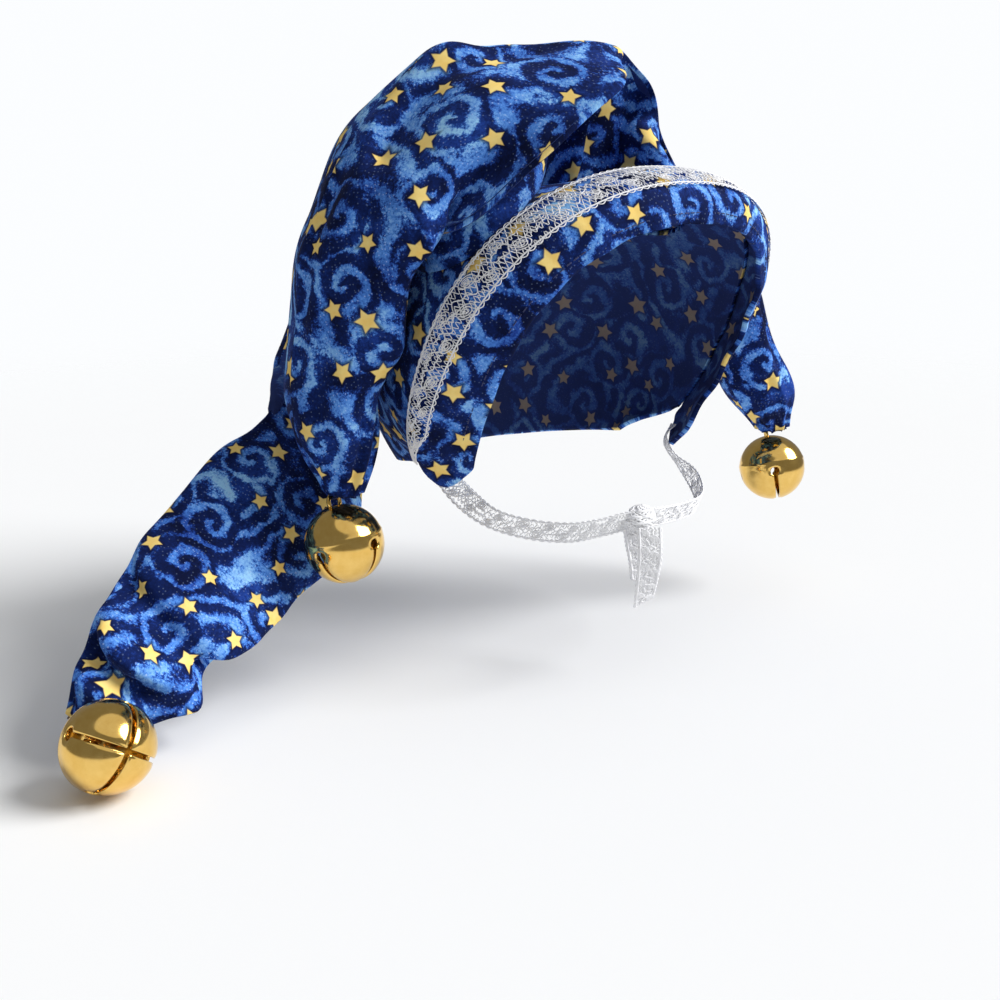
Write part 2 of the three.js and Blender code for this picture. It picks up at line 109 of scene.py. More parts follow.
def fill(tree, node, sockets):
    """Gives each input in sockets, by name or number, its value or another node's output."""
    for key, value in sockets.items():
        if isinstance(value, bpy.types.NodeSocket):
            tree.links.new(value, node.inputs[key])
        else:
            node.inputs[key].default_value = value


def put(tree, kind, sockets=None, **settings):
    """A new shader node with these inputs and settings."""
    node = tree.nodes.new(kind)
    for key, value in settings.items():
        setattr(node, key, value)
    fill(tree, node, sockets or {})
    return node


def calc(tree, operation, *values):
    """The output of one Math node."""
    return put(tree, "ShaderNodeMath", dict(enumerate(values)), operation=operation).outputs[0]


def new_material(name):
    """A new material, its node tree and its surface shader."""
    material = bpy.data.materials.new(name)
    material.use_nodes = True
    return material, material.node_tree, material.node_tree.nodes["Principled BSDF"]


def thread_material(name, dark, light, twist):
    """Spun thread: two close tones in small patches, with a bump of slanting turns twist metres apart."""
    material, tree, surface = new_material(name)
    place = put(tree, "ShaderNodeTexCoord").outputs["Object"]
    patches = put(tree, "ShaderNodeTexNoise", {"Vector": place, "Scale": 900, "Detail": 2})
    tones = put(tree, "ShaderNodeMix", {"Factor": patches.outputs["Fac"], "A": dark, "B": light},
                data_type="RGBA")
    turns = put(tree, "ShaderNodeTexWave", {"Vector": place, "Scale": 1 / (20 * twist), "Distortion": 1.5})
    bump = put(tree, "ShaderNodeBump", {"Height": turns.outputs["Fac"], "Strength": 0.3, "Distance": 0.00005})
    fill(tree, surface, {"Base Color": tones.outputs["Result"], "Normal": bump.outputs["Normal"],
                         "Roughness": 0.75, "Sheen Weight": 0.2})
    return material


def new_piece(name, points, faces, material, slot):
    """A smooth-shaded mesh piece in the row frame from points in millimetres, riding on the hat."""
    mesh = bpy.data.meshes.new(name)
    mesh.from_pydata(np.asarray(points).reshape(-1, 3) * MM, [], faces)
    mesh.shade_smooth()
    mesh.materials.append(material)
    piece = bpy.data.objects.new(name, mesh)
    bpy.context.collection.objects.link(piece)
    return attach(piece, "root")


def curve_through(rows, share):
    """A uniform Catmull-Rom curve through the rows: between two rows it is the cubic whose slopes are half
    the step between the rows on either side, and the first and last rows are mirrored outwards."""
    ends = 2 * rows[[0, -1]] - rows[[1, -2]]
    around = np.vstack([ends[:1], rows, ends[1:]])
    place = np.clip(share, 0, 1) * (len(rows) - 1)
    i = np.minimum(place.astype(int), len(rows) - 2)
    t = (place - i)[..., None]
    a, b, c, d = (around[i + k] for k in range(4))
    return b + 0.5 * ((c - a) * t + (2 * a - 5 * b + 4 * c - d) * t**2 + (3 * (b - c) + d - a) * t**3)


def unit(vectors):
    """The vectors, each divided by its length."""
    return vectors / np.maximum(np.linalg.norm(vectors, axis=-1, keepdims=True), 1e-12)


def strip(route, half):
    """The surface of a flat strip: the route's middle line plus across times half the width, along the
    way that the width lies there. along is 0 to 1, across -1 to 1."""
    def surface(along, across):
        row = curve_through(route, along)
        return row[..., :3] + half * across[..., None] * unit(row[..., 3:])
    return surface


def normals(surface, along, across):
    """Unit normals of a surface of two parameters, from the cross product of its two small steps."""
    step = 1e-4
    down = surface(along + step, across) - surface(along - step, across)
    over = surface(along, across + step) - surface(along, across - step)
    return unit(np.cross(down, over))


def threads(surface, along, across, thick, lift=0.0, sides=5):
    """Round threads that lie on a surface. Each row of along and across is one thread's run in the surface's
    parameters; every place on it carries a ring of radius thick square to the thread."""
    along, across = np.broadcast_arrays(along, across)
    out = normals(surface, along, across)
    middle = surface(along, across) + lift * out
    way = unit(np.gradient(middle, axis=1))
    side = np.cross(way, out)
    turn = np.linspace(0, 2 * np.pi, sides, endpoint=False)[:, None]
    circle = np.cos(turn) * out[..., None, :] + np.sin(turn) * side[..., None, :]
    return middle[..., None, :] + thick * circle


def thread_faces(runs):
    """Points and faces of closed threads: quads between neighbouring rings and a flat cap on both ends."""
    points, faces, first = [], [], 0
    for rings in runs:
        index = first + np.arange(rings[..., 0].size).reshape(rings.shape[:3])
        turned = np.roll(index, -1, axis=2)
        quads = np.stack([index[:, :-1], turned[:, :-1], turned[:, 1:], index[:, 1:]], axis=-1)
        faces += quads.reshape(-1, 4).tolist() + index[:, 0, ::-1].tolist() + index[:, -1].tolist()
        points.append(rings.reshape(-1, 3))
        first += index.size
    return np.concatenate(points), faces


def lace(surface, cells, rows, leaves, picots, heavy=1.0):
    """The threads of a lace strip on a surface whose across runs from -1 to 1, all heavy times as thick.
    Net: each of the rows swings in a sine wave of so many cells against its neighbours and touches them at
    every half wave, which leaves six-sided eyelets, and a slower wave makes them uneven.
    Vine: two heavier threads in opposite waves.
    Leaves: on either side in turn, slanting ovals one inside the other, none quite alike.
    Border: a firm thread along both edges, and outside it picots, loops of half sine waves."""
    fine = np.linspace(0.002, 0.998, 6 * cells + 1)[None]
    row = np.arange(rows)[:, None]
    run = cells * fine
    swing = 0.5 * np.sin(2 * np.pi * run + np.pi * row + 0.9 * np.sin(0.37 * run + 1.7 * row))
    swing += 0.25 * np.sin(0.31 * run + 2.4 * row) + 0.15 * np.sin(0.83 * run + 4.1 * row)
    net = (row + 0.5 + swing) / rows
    slow = fine[:, ::2]
    wave = 0.34 * np.sin(np.pi * leaves * slow) + 0.12 * np.sin(2.7 * np.pi * leaves * slow)
    chance = np.random.default_rng(leaves).uniform(-1, 1, (3, leaves, 1))
    middle = (np.arange(leaves)[:, None] + 0.5 + 0.12 * chance[0]) / leaves
    centre = np.where(np.arange(leaves) % 2, 0.46, -0.46)[:, None] + 0.1 * chance[1]
    grown = 1 + 0.2 * chance[2]
    turn = np.linspace(0, 2 * np.pi, 12)[None]
    edge = np.array([[-1.0], [1.0]])
    bulge = 0.12 * np.abs(np.sin(np.pi * picots * fine))
    runs = [
        threads(surface, fine, 0.95 * (2 * net - 1), 0.15 * heavy, 0.0, 4),
        threads(surface, slow, np.concatenate([wave, -wave]), 0.2 * heavy, 0.12, 4),
        threads(surface, slow, edge * 0.92, 0.24 * heavy, 0.05),
        threads(surface, fine, edge * (0.95 + bulge), 0.17 * heavy, 0.0, 4),
    ]
    for size in (1.0, 0.62, 0.3):
        slant = size * grown / leaves * (0.42 * np.cos(turn) + 0.2 * np.sin(turn))
        oval = centre + size * grown * 0.36 * np.sin(turn)
        along = np.clip(middle + slant, 0.004, 0.996)
        runs.append(threads(surface, along, oval, 0.18 * heavy, 0.14, 4))
    return runs


lace_thread = thread_material("lace_thread", (0.90, 0.90, 0.93, 1), (0.98, 0.98, 0.99, 1), 0.0004)
tie_surface = strip(TIE_ROUTE, TIE_HALF)
chin_tie = new_piece("tie_round_the_chin", *thread_faces(lace(tie_surface, **TIE_LACE)), lace_thread, "lace")
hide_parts("chin_tie_right", "chin_tie_left")

for node, route in (("tie_end_front", END_FRONT), ("tie_end_rear", END_REAR)):
    end_threads = thread_faces(lace(strip(route, TIE_HALF), **END_LACE))
    tie_end = new_piece("lace_" + node, *end_threads, lace_thread, "lace")
    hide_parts(node)


def knot_surface(around, across):
    """The wraps of the knot: a ball pinched by a slanting groove between its turns, which is a high power of
    a cosine. around is in turns, and across runs from pole to pole."""
    lean, turn = np.pi * 0.5 * across, 2 * np.pi * around
    size = 1 - 0.1 * np.cos(3 * lean + 2 * turn) ** 8
    ball = np.stack([np.cos(lean) * np.cos(turn), np.cos(lean) * np.sin(turn), np.sin(lean)], axis=-1)
    return KNOT_AT + KNOT_HALF * size[..., None] * ball


wraps = np.linspace(0, 1, 13)[:, None]
pole = np.linspace(-0.97, 0.97, 61)[None]
knot_net = [
    # two nets of slanting threads, and four turns of the strip's firm edge
    threads(knot_surface, wraps + 0.5 * pole, pole, 0.32),
    threads(knot_surface, wraps - 0.5 * pole, pole, 0.25, 0.1),
    threads(knot_surface, np.linspace(0, 1, 73)[None], np.array([[-0.45], [-0.1], [0.2], [0.5]]), 0.4, 0.1),
]
tie_knot = new_piece("lace_knot", *thread_faces(knot_net), lace_thread, "lace")
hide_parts("tie_knot")


# Hood
# The part that covers the head: printed quilting cotton cut in gores, open at the face and the neck, with a
# hole under each of the three points that are sewn onto it.
CLOTH = 1.5
EAR_Y, EAR_Z = 8.0, -75.5
FACE_LEAN, NAPE_LEAN = 62.0, 188.0
ROUND = 2.3
LEFT_SHARE = 0.91
HOOD_DROP = 1.6
HEAD_CENTRE = np.array((0.0, 10.0, -45.0))
HOOD = np.array([
    # arches from the face to the nape: rise, half width, height of the widest place, height of the foot
    (89.0, 58.0, 34.0, 8.0),
    (78.6, 58.3, 34.0, 5.6),
    (73.2, 57.6, 33.0, 4.7),
    (70.0, 56.0, 31.0, 4.4),
    (66.5, 53.0, 28.0, 4.5),
    (62.0, 49.5, 24.5, 5.2),
    (57.0, 45.0, 20.0, 6.9),
    (52.0, 41.0, 16.0, 12.0),
])
HOOD_WAVES = [
    # the worn cloth's shallow waves: length, depth and way
    (27, 0.35, (1, 0.4, 0.2)),
    (18, 0.2, (0.3, 1, -0.5)),
    (12, 0.1, (1, -1, 1)),
]
SEAMS = np.array([
    # where the right, left and back points are sewn on: middle, half width and half depth of the seam
    (-36, 4, -8, 20, -2, 12, -9, -27, 0),
    (24, 10, -5, -22, -2, 9, 6, -24, 0),
    (0, 54, -22, 0, -10, 15, 24, 0, 0),
], float)
SEAM_LAP, SEAM_NEAR = 5.0, 0.86


def print_cotton(name, fade_and_shade=0.0):
    """Printed quilting cotton. Its print is drawn on the cloth's flat coordinates, in centimetres: curled
    brush strokes (spirals round scattered centres, and bands that follow a slow noise between them) in blues
    from navy to sky, a grainy speckle, and scattered five-pointed gold stars with dark outlines. On the
    unprinted side all of it shows through faded and is darkened towards navy, which is painted shade for the
    inside of the hat."""
    material, tree, surface = new_material(name)
    flat = put(tree, "ShaderNodeUVMap", uv_map="print").outputs["UV"]

    def times(one, other):
        """The product of two values."""
        return calc(tree, "MULTIPLY", one, other)

    def scaled(value, by, plus):
        """A value times another, plus a third."""
        return calc(tree, "MULTIPLY_ADD", value, by, plus)

    def noise(scale, detail, rough=0.5, vector=flat):
        """A noise over the cloth with about so many lumps to the centimetre."""
        sockets = {"Vector": vector, "Scale": scale, "Detail": detail, "Roughness": rough}
        return put(tree, "ShaderNodeTexNoise", sockets, noise_dimensions="2D")

    def scattered(vector, scale, loose):
        """Scattered centres: the place's distance from the nearest one, its bearing, and random numbers."""
        cell = put(tree, "ShaderNodeTexVoronoi", {"Vector": vector, "Scale": scale, "Randomness": loose},
                   voronoi_dimensions="2D")
        away = put(tree, "ShaderNodeVectorMath", {0: vector, 1: cell.outputs["Position"]},
                   operation="SUBTRACT")
        far = put(tree, "ShaderNodeVectorMath", {0: away.outputs[0]}, operation="LENGTH").outputs["Value"]
        xyz = put(tree, "ShaderNodeSeparateXYZ", {0: away.outputs[0]}).outputs
        chance = put(tree, "ShaderNodeSeparateColor", {0: cell.outputs["Color"]}).outputs
        return far, calc(tree, "ARCTAN2", xyz["Y"], xyz["X"]), chance

    def between(value, low, high):
        """0 where the value is low and 1 where it is high, eased at both ends."""
        sockets = {"Value": value, "From Min": low, "From Max": high}
        return put(tree, "ShaderNodeMapRange", sockets, interpolation_type="SMOOTHSTEP").outputs["Result"]

    def mixed(share, under, over):
        """The colour that lies a share of the way from under to over."""
        return put(tree, "ShaderNodeMix", {"Factor": share, 6: under, 7: over}, data_type="RGBA").outputs[2]

    wander = put(tree, "ShaderNodeVectorMath", {0: noise(1.4, 3).outputs["Color"], 1: (0.5, 0.5, 0)},
                 operation="SUBTRACT")
    painted = put(tree, "ShaderNodeVectorMath", {0: wander.outputs[0], 1: (0.5, 0.5, 0), 2: flat},
                  operation="MULTIPLY_ADD").outputs[0]

    # curls: the cosine of the bearing plus the distance in turns, with grainy edges like a dry brush
    curl_pitch, band_turns = 0.62, 34.0
    grain = noise(13.0, 4, 0.75).outputs["Fac"]
    blots = noise(3.0, 3, 0.6).outputs["Fac"]
    areas = noise(0.5, 1).outputs["Fac"]
    far, bearing, chance = scattered(painted, 0.5, 0.55)
    hand = scaled(calc(tree, "GREATER_THAN", chance["Red"], 0.5), 2.0, -1.0)
    turns = scaled(far, 2 * math.pi / curl_pitch, times(bearing, hand))
    curl = calc(tree, "COSINE", scaled(chance["Green"], 6.0, turns))
    slow = noise(0.34, 0, 0.4, painted).outputs["Fac"]
    bands = calc(tree, "COSINE", times(slow, band_turns))
    in_curl = between(far, 0.98, 0.75)
    stroke = scaled(calc(tree, "SUBTRACT", curl, bands), in_curl, bands)
    stroke = scaled(calc(tree, "SUBTRACT", grain, 0.5), 2.4, stroke)
    stroke = scaled(calc(tree, "SUBTRACT", blots, 0.5), 1.4, stroke)
    stroke = between(stroke, -0.45, 0.95)

    # tone: the strokes, with wide light and dark areas
    tone = scaled(stroke, 0.44, scaled(grain, 0.4, -0.42))
    tone = scaled(blots, 0.3, tone)
    tone = scaled(areas, 0.72, tone)
    ramp = put(tree, "ShaderNodeValToRGB", {"Fac": tone})
    blues = [
        (0.10, (0.0020, 0.0050, 0.032, 1)),
        (0.32, (0.0050, 0.0160, 0.100, 1)),
        (0.52, (0.0170, 0.0600, 0.340, 1)),
        (0.72, (0.0780, 0.2500, 0.740, 1)),
        (0.95, (0.3600, 0.6800, 1.000, 1)),
    ]
    ramp.color_ramp.elements[0].position, ramp.color_ramp.elements[0].color = blues[0]
    ramp.color_ramp.elements[1].position, ramp.color_ramp.elements[1].color = blues[-1]
    for position, colour in blues[1:-1]:
        ramp.color_ramp.elements.new(position).color = colour

    # speckle: small pale dots in two fifths of the cells of about a millimetre, clearest on light strokes
    dot, _, lot = scattered(flat, 9.0, 1.0)
    dots = times(between(dot, 0.026, 0.008), calc(tree, "GREATER_THAN", lot["Red"], 0.6))
    dots = times(dots, scaled(between(tone, 0.3, 0.75), 0.55, 0.15))
    ground = mixed(dots, ramp.outputs["Color"], (0.42, 0.58, 0.92, 1))

    # stars: the bearing folded into one tenth of a turn, then the distance over the edge from tip to notch
    least, spread, notch = 0.235, 0.11, 0.53
    far, bearing, chance = scattered(flat, 0.70, 0.55)
    spun = scaled(chance["Red"], 2 * math.pi, bearing)
    tenth = calc(tree, "ABSOLUTE", calc(tree, "WRAP", spun, math.radians(36), math.radians(-36)))
    size = scaled(chance["Green"], spread, least)
    share = calc(tree, "DIVIDE", far, size)
    slope = math.atan2(notch * math.sin(math.radians(36)), 1 - notch * math.cos(math.radians(36)))
    outward = times(share, calc(tree, "COSINE", tenth))
    sideways = times(share, calc(tree, "SINE", tenth))
    over = scaled(calc(tree, "SUBTRACT", outward, 1.0), math.sin(slope), times(sideways, math.cos(slope)))
    printed = calc(tree, "GREATER_THAN", chance["Blue"], 0.08)
    star = times(between(over, 0.06, -0.06), printed)
    outline = times(between(over, 0.42, 0.05), times(printed, 0.8))
    gold = mixed(noise(3.0, 3).outputs["Fac"], (0.93, 0.58, 0.12, 1), (1.0, 0.83, 0.34, 1))
    ground = mixed(outline, ground, (0.003, 0.005, 0.03, 1))
    colour = mixed(star, ground, gold)
    # the unprinted side: the print faded and mixed towards a dark navy, which is painted shade for the inside
    # of the hat
    if fade_and_shade:
        colour = mixed(fade_and_shade, colour, (0.03, 0.05, 0.18, 1))

    # weave: crossing threads half a millimetre apart
    thread_pitch = 0.05
    xyz = put(tree, "ShaderNodeSeparateXYZ", {0: flat}).outputs
    warp = calc(tree, "SINE", times(xyz["X"], 2 * math.pi / thread_pitch))
    weft = calc(tree, "SINE", times(xyz["Y"], 2 * math.pi / thread_pitch))
    bump = put(tree, "ShaderNodeBump", {"Height": times(warp, weft), "Strength": 0.25, "Distance": 0.00006})
    dull = scaled(grain, 0.2, 0.72)
    fill(tree, surface, {"Base Color": colour, "Roughness": dull, "Normal": bump.outputs["Normal"],
                         "Sheen Weight": 0.02, "Specular IOR Level": 0.06})
    return material


def laid_flat(grid, row_step, column_step, shift, rounds=80):
    """Flat coordinates of curved cloth in centimetres, laid out with as little stretch as it allows. Every
    few rows and columns the cloth is cut into triangles. Each one is turned, unstretched, to where it fits
    best, the points move to the least-squares place between their triangles, and this is repeated. The
    places between are filled in with Catmull-Rom curves."""
    rough = grid[::row_step, ::column_step] / 10
    rows, columns = rough.shape[:2]
    index = np.arange(rows * columns).reshape(rows, columns)
    a, b, c, d = index[:-1, :-1], index[1:, :-1], index[1:, 1:], index[:-1, 1:]
    corners = np.concatenate([np.stack(three, axis=-1).reshape(-1, 3) for three in ((a, b, c), (a, c, d))])
    at = rough.reshape(-1, 3)[corners]
    x = unit(at[:, 1] - at[:, 0])
    y = unit(np.cross(np.cross(x, at[:, 2] - at[:, 0]), x))
    from_first = at - at[:, :1]
    local = np.stack([(from_first * axis[:, None]).sum(-1) for axis in (x, y)], axis=-1)
    sides = np.roll(local, -1, axis=1) - local
    side_x, side_y = sides[..., 0], sides[..., 1]
    start, end = corners.ravel(), np.roll(corners, -1, axis=1).ravel()
    pull = np.zeros((index.size, index.size))
    np.add.at(pull, (np.r_[start, end], np.r_[start, end]), 1)
    np.add.at(pull, (np.r_[start, end], np.r_[end, start]), -1)
    pull[0, 0] += 1
    settle = np.linalg.inv(pull)
    down = np.linalg.norm(np.diff(rough, axis=0, prepend=rough[:1]), axis=-1).cumsum(axis=0)
    over = np.linalg.norm(np.diff(rough, axis=1, prepend=rough[:, :1]), axis=-1).cumsum(axis=1)
    flat = np.stack([down, over - over[:, columns // 2, None]], axis=-1).reshape(-1, 2)
    for _ in range(rounds):
        there = (flat[end] - flat[start]).reshape(sides.shape)
        cross = (side_x * there[..., 1] - side_y * there[..., 0]).sum(axis=1)
        turn = np.arctan2(cross, (sides * there).sum(axis=(1, 2)))[:, None]
        cos, sin = np.cos(turn), np.sin(turn)
        turned = np.stack([cos * side_x - sin * side_y, sin * side_x + cos * side_y], axis=-1)
        push = np.zeros_like(flat)
        np.add.at(push, end, turned.reshape(-1, 2))
        np.add.at(push, start, -turned.reshape(-1, 2))
        flat = settle @ push
    many, wide = grid.shape[:2]
    flat = curve_through(flat.reshape(rows, -1), np.linspace(0, 1, many)).reshape(many, columns, 2)
    flat = curve_through(flat.swapaxes(0, 1).reshape(columns, -1), np.linspace(0, 1, wide))
    return flat.reshape(wide, many, 2).swapaxes(0, 1) + shift


def crumpled(grid, out, waves):
    """The grid pushed along out by shallow waves through space. Each is a sine along its own way whose
    crests wander with a second sine: length and depth in millimetres, and the way."""
    push = np.zeros(grid.shape[:2])
    for length, depth, way in waves:
        way = unit(np.array(way, float))
        side = unit(np.cross(way, (0.3, 0.5, 0.8)))
        push += depth * np.sin(2 * np.pi * (grid @ way) / length + 1.4 * np.sin(2.1 * (grid @ side) / length))
    return grid + push[..., None] * unit(out)


def cloth_piece(name, grid, flat, out, over=None, keep=None, tip=False):
    """A sheet of cotton from a grid of points: quads between neighbours, turned so that they face along
    out, the print's flat coordinates on them, and the cloth's thickness added inwards. over says which
    column of the grid each column of flat belongs to; where it repeats one, two panels meet in a seam.
    tip closes the last row."""
    rows, columns = grid.shape[:2]
    over = np.arange(columns) if over is None else over
    index = np.arange(rows * columns).reshape(rows, columns)[:, over]
    corner = np.arange(index.size).reshape(index.shape)

    def cells(of):
        """The four corners of each square between neighbouring rows and columns, without the seams."""
        four = np.stack([of[:-1, :-1], of[1:, :-1], of[1:, 1:], of[:-1, 1:]], axis=-1)
        return four[:, over[:-1] != over[1:]].reshape(-1, 4)

    quads, places = cells(index), cells(corner)
    points = grid.reshape(-1, 3)
    if keep is not None:
        kept = keep.reshape(-1)[quads].any(axis=1)
        quads, places = quads[kept], places[kept]
    a, b, c = (points[quads[:, k]] for k in range(3))
    facing = (np.cross(b - a, c - b) * out.reshape(-1, 3)[quads[:, 0]]).sum()
    turn = slice(None) if facing > 0 else slice(None, None, -1)
    faces, uv = quads[:, turn].tolist(), [flat.reshape(-1, 2)[places[:, turn]].reshape(-1, 2)]
    if tip:
        last = np.arange(columns)[::1 if facing > 0 else -1]
        faces.append((index[-1].min() + last).tolist())
        uv.append(np.tile(flat[-1, :1], (columns, 1)))
    piece = new_piece(name, points, faces, print_on_cotton, "cotton")
    print_layer = piece.data.uv_layers.new(name="print")
    print_layer.data.foreach_set("uv", np.concatenate(uv).astype(np.float32).ravel())
    # the inner faces of the thickened cloth take the faded print, darkened as painted shade
    piece.data.materials.append(back_of_cotton_painted_shade)
    thick = piece.modifiers.new("cloth", "SOLIDIFY")
    thick.thickness, thick.offset, thick.material_offset = CLOTH * MM, -1, 1
    return piece


def arch(rise, half, waist, drop, foot, side):
    """A point of an arch, as its distance sideways and its height: a super-ellipse round the waist, taller
    above it than below. side is -1 at the right foot, 0 at the top and 1 at the left foot."""
    foot_half = half * (1 - (np.abs(foot - waist) / drop) ** ROUND) ** (1 / ROUND)
    angle = np.pi / 2 - np.abs(side) * (np.pi / 2 - np.arctan2(foot - waist, foot_half))
    c, s = np.cos(angle), np.sin(angle)
    tall = np.where(s >= 0, rise - waist, drop)
    reach = ((np.abs(c) / half) ** ROUND + (np.abs(s) / tall) ** ROUND) ** (-1 / ROUND)
    return np.where(side < 0, -1, LEFT_SHARE) * reach * c, waist + reach * s


def leaning(x, up, lean, y, z):
    """An arch's point in the row frame, its plane leaning by lean degrees from straight ahead."""
    lean = np.radians(lean)
    return np.stack(np.broadcast_arrays(x, y - up * np.cos(lean), z + up * np.sin(lean)), axis=-1)


def hood_arch(share, lift):
    """The hood's arch at a share of the way from the face to the nape, from a curve through the table's rows,
    and raised all round by lift: rise, half width, waist, drop below it and foot."""
    rise, half, waist, foot = np.moveaxis(curve_through(HOOD, share), -1, 0)
    return rise + lift, half + lift, waist, HOOD_DROP * waist, foot


def hood(share, side, lift=0.0):
    """The hood: arches that fan out from the line through both ears, from the face at 0 to the nape at 1."""
    x, up = arch(*hood_arch(share, lift), side)
    return leaning(x, up, FACE_LEAN + (NAPE_LEAN - FACE_LEAN) * share, EAR_Y, EAR_Z)


def in_hole(points, at, edge, face):
    """How far out points lie in the cone from the head's centre through a point's seam: 0 on its axis and 1
    on the seam, with the same points moved out onto the seam."""
    base = np.stack([at - HEAD_CENTRE, edge, face], axis=-1)
    t, x, y = np.moveaxis((points - HEAD_CENTRE) @ np.linalg.inv(base).T, -1, 0)
    share = np.where(t > 0, np.hypot(x, y) / np.maximum(t, 1e-6), 9.0)
    grown = np.stack([t, x / np.maximum(share, 1e-6), y / np.maximum(share, 1e-6)], axis=-1) @ base.T
    size = np.linalg.norm(points - HEAD_CENTRE, axis=-1, keepdims=True)
    return share, HEAD_CENTRE + unit(grown) * size


print_on_cotton = print_cotton("print_on_cotton")
# the inside of every cloth piece: the print faded (real) and darkened to navy (painted shade)
back_of_cotton_painted_shade = print_cotton("back_of_cotton_painted_shade", 0.72)
hood_grid = hood(*np.meshgrid(np.linspace(0, 1, 129), np.linspace(-1, 1, 221), indexing="ij"))
hood_flat = laid_flat(hood_grid, 8, 11, (3.1, 7.4))
hood_out = hood_grid - HEAD_CENTRE
hood_grid = crumpled(hood_grid, hood_out, HOOD_WAVES)
hood_keep = np.ones(hood_grid.shape[:2], bool)
for middle, edge, face in SEAMS.reshape(-1, 3, 3):
    # each hole is cut inside its seam, and the places next to its edge are moved onto that
    shorter = [v * (1 - SEAM_LAP / np.linalg.norm(v)) for v in (edge, face)]
    inside, on_seam = in_hole(hood_grid, middle, *shorter)
    hood_keep &= inside >= 1
    near_edge = (inside < 1) & (inside > SEAM_NEAR)
    hood_grid = np.where(near_edge[..., None], on_seam, hood_grid)
crown = cloth_piece("hood", hood_grid, hood_flat, hood_out, keep=hood_keep)
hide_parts("crown")


# Points
# Three long cloth cones, each sewn from one folded triangle of the same cotton: two rise over the hood and
# flop down beside the cheeks, and the longer one hangs from the back and swings out to the wearer's right.
GAP = 0.45
POINT_SPAN, POINT_GIRTH = 130.0, 18.0
POINT_SEAT, POINT_EASE = 0.125, 1.5
POINT_RIDGE = 0.15
FOLD_LIMIT = 0.55
PLEATS, PLEATS_FROM, PLEAT_DEPTH = 9, 0.86, 0.1
PANELS_APART = 9
POINT_RIGHT = np.array([
    # sections from the seam to the tip: middle, half width to the outer edge, half depth to the front
    SEAMS[0],
    (-33, 3, 8, 21, -6, 15, -9, -26, -3),
    (-28, 2, 18, 26, -18, 18, -10, -22, -6),
    (-47, 8, 16, 10, -9, 21, -6, -24, -7),
    (-58, 12, 7, 0, -1.5, 19, -3, -24, -7),
    (-66, 15, -5, -8, 0, 11, -2, -22, -4),
    (-72, 18, -24, -12, 0, 3, 0, -19, 0),
    (-73, 19, -45, -12, 0, -1, 0, -18, 0),
    (-73, 15, -63, -11, 0, -1, 0, -14, 0),
    (-74, 11, -78.5, -5, 0, 0, 0, -6, 0),
], float)
POINT_LEFT = np.array([
    SEAMS[1],
    (22, 10, 7, -20, -8, 19, 4, -20, 0),
    (24.5, 13, 12.5, -14.5, -13, 25.5, 3, -17, 0),
    (29, 15, 8, -11, -8, 21, 2, -17, 0),
    (41, 14, -4, -6, -2, 12, 1, -18, 0),
    (54, 9, -14, 2, 0, 9, 0, -17, 0),
    (63, 4, -31, 8, 0, 5, 0, -15, 0),
    (69, -1, -48, 9, 0, 4, 0, -13, 0),
    (76.5, -4.5, -64, 10, 0, 3, 0, -11, 0),
    (83, -6, -77.5, 6, 0, 1, 0, -6, 0),
], float)
POINT_BACK = np.array([
    SEAMS[2],
    (-6, 68, -16, -2, -6, 16, 21, 8, 0),
    (-26, 77, -31, -9, 0, 17, 13, 12, 3),
    (-50, 64, -57, -11, 8, 13, 7, 10, 2),
    (-68.1, 41.5, -79.5, -10.5, 11.5, 15.5, 6, 7, -2),
    (-94.6, 30, -93.5, -10, 12, 15.5, 5, 6, -2),
    (-120, 16, -104, -9, 11, 12, 5, 6, -2),
    (-136, 7, -114, -7, 8, 9, 5, 5, -2),
    (-147.8, 6, -123.2, -4, 4, 3, 2.5, 2.5, -1),
], float)
FOLDS_RIGHT = [
    # a crease from one place to another, each as a share of the length and degrees round; depth and width,
    # the depth less than nothing where the cloth is puffed out
    (0.215, 62, 0.215, 108, -11.0, 7.0),
    (0.52, 112, 0.74, 122, -8.5, 8.0),
    (0.10, 55, 0.13, 110, 7.0, 6.0),
    (0.31, 0, 0.42, 0, -2.2, 9.0),
    (0.285, -12, 0.287, 12, 2.2, 2.4),
    (0.31, 14, 0.48, 42, 6.0, 5.0),
    (0.10, -45, 0.35, -40, 9.0, 9.0),
    (0.27, 30, 0.46, 64, 1.5, 3.2),
    (0.34, -6, 0.60, 14, 1.4, 3.4),
    (0.47, 52, 0.66, 84, 1.4, 3.6),
    (0.56, 22, 0.76, 18, 1.3, 3.6),
    (0.56, 60, 0.80, 45, 1.6, 4.0),
    (0.84, 40, 0.95, 60, 1.8, 3.0),
    (0.86, 95, 0.96, 90, 1.8, 2.6),
    (0.85, 135, 0.95, 120, 1.8, 3.0),
]
FOLDS_LEFT = [
    (0.06, 25, 0.18, 38, 15.0, 9.0),
    (0.20, 0, 0.24, 5, -1.5, 7.0),
    (0.20, 10, 0.50, 40, 2.0, 6.0),
    (0.30, 170, 0.60, 180, 3.0, 7.0),
    (0.60, 60, 0.85, 80, 1.5, 4.0),
    (0.85, 30, 0.95, 50, 1.5, 3.0),
    (0.86, 110, 0.95, 100, 1.5, 3.0),
]
FOLDS_BACK = [
    (0.25, 60, 0.55, 110, 4.0, 8.0),
    (0.45, -60, 0.58, -130, 1.6, 5.0),
    (0.70, -60, 0.71, -150, -2.4, 6.0),
    (0.765, -8, 0.79, -200, 6.0, 3.4),
    (0.83, -65, 0.83, -150, -3.6, 6.0),
    (0.84, -180, 0.85, -205, -3.6, 4.5),
    (0.88, -25, 0.885, -140, 5.0, 3.0),
    (0.93, -60, 0.93, -120, -2.4, 4.0),
    (0.80, 180, 0.88, 250, 3.0, 5.0),
]
